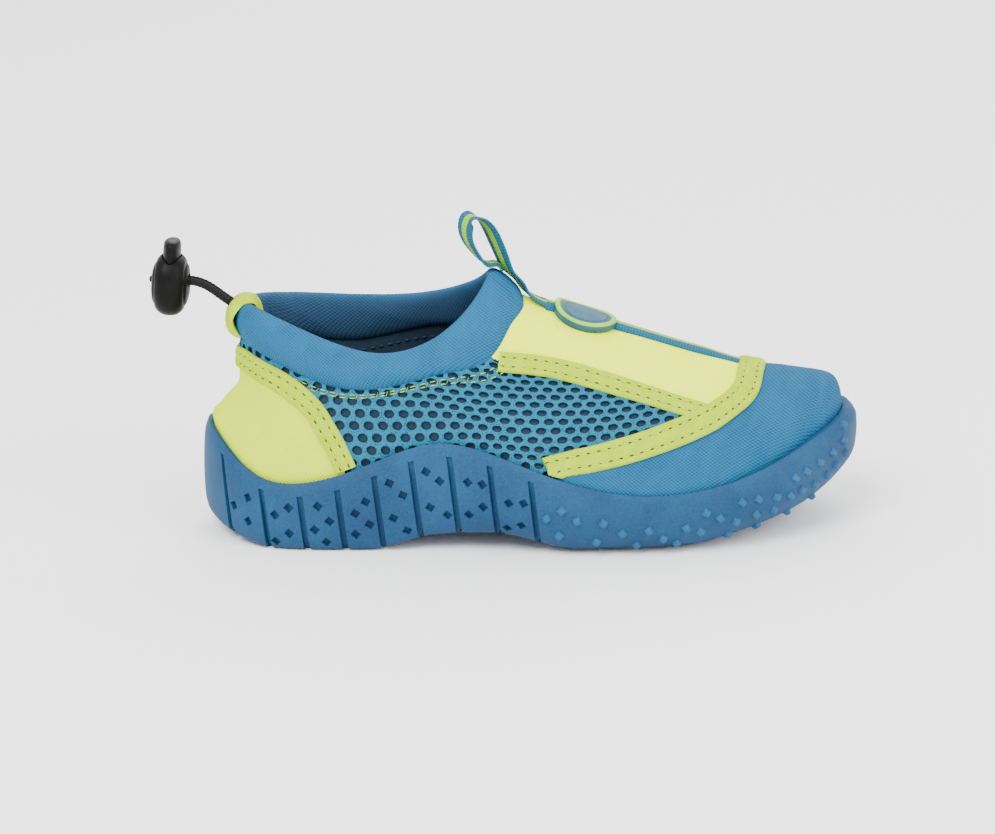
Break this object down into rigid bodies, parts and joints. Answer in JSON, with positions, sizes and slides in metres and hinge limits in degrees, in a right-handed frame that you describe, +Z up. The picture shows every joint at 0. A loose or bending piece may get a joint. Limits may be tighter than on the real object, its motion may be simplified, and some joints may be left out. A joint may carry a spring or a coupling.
{
  "type": "water shoe",
  "caption": "Slip-on child's water shoe for the right foot, with a wavy cup sole, mesh sides, padded collar, pull loop and an elastic heel cord with a lock.",
  "frame": {"origin": "middle of the shoe's box at the floor, without the heel cord and its lock", "axes": "+X from the heel to the toe, +Y to the foot's inner side, +Z up"},
  "size_m": [0.2038, 0.079, 0.0908],
  "materials": {
    "blue_neoprene": "matte",
    "sole_rubber": "satin",
    "insole_foam": "matte",
    "yellow_trim": "matte",
    "woven_tape": "matte",
    "badge_rubber": "satin",
    "black_elastic": "matte",
    "black_plastic": "satin"
  },
  "bodies": {
    "shoe": {"upper": "blue_neoprene", "outsole": "sole_rubber", "insole": "insole_foam", "collar": "blue_neoprene", "toe_band": "yellow_trim", "heel_band": "yellow_trim", "eyestay_outer": "yellow_trim", "eyestay_inner": "yellow_trim", "centre_tape": "woven_tape", "badge": "badge_rubber", "heel_tab": "yellow_trim", "drawcord": "black_elastic", "lock_body": "black_plastic"},
    "button": {"lock_button": "black_plastic"}
  },
  "joints": [
    {"name": "button_press", "type": "slide", "parent": "shoe", "child": "button", "axis": [0.0872, 0, 0.9962], "range_m": [-0.003, 0], "stiffness_N_per_m": 600}
  ]
}
